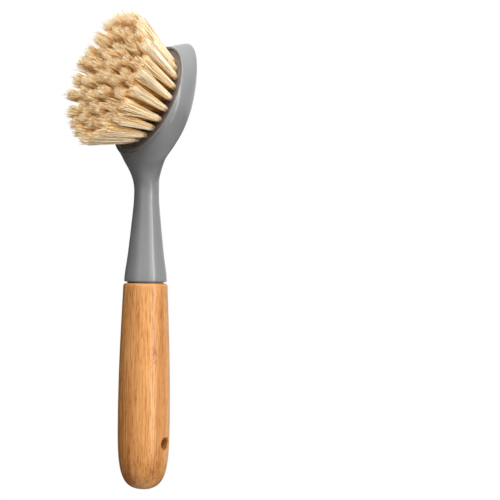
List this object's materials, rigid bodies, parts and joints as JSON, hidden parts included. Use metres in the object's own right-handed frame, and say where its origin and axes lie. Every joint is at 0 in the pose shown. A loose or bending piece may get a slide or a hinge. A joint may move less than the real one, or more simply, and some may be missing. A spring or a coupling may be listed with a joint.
{
  "type": "dish brush",
  "caption": "Hand dish brush: turned bamboo handle with a hang hole, slim plastic neck, tilted round head with a scraper tip, and stiff bristles in a snap-in plate.",
  "frame": {"origin": "centre of the hang hole, on the handle's axis", "axes": "+Z along the handle towards the head, the bristles face -Y and up, +X to the side"},
  "size_m": [0.0721, 0.0617, 0.2431],
  "materials": {
    "bamboo": "satin",
    "grey_plastic": "satin",
    "plate_plastic": "satin",
    "bristles": "satin",
    "anchor_metal": "plain"
  },
  "bodies": {
    "root": {"bamboo_handle": "bamboo", "neck_and_head": "grey_plastic", "bristle_plate": "plate_plastic", "tufts_middle": "bristles", "tufts_ring_1": "bristles", "tufts_ring_2": "bristles", "tufts_ring_3": "bristles", "tufts_ring_4": "bristles", "anchors_middle": "anchor_metal", "anchors_ring_1": "anchor_metal", "anchors_ring_2": "anchor_metal", "anchors_ring_3": "anchor_metal", "anchors_ring_4": "anchor_metal"}
  },
  "joints": []
}
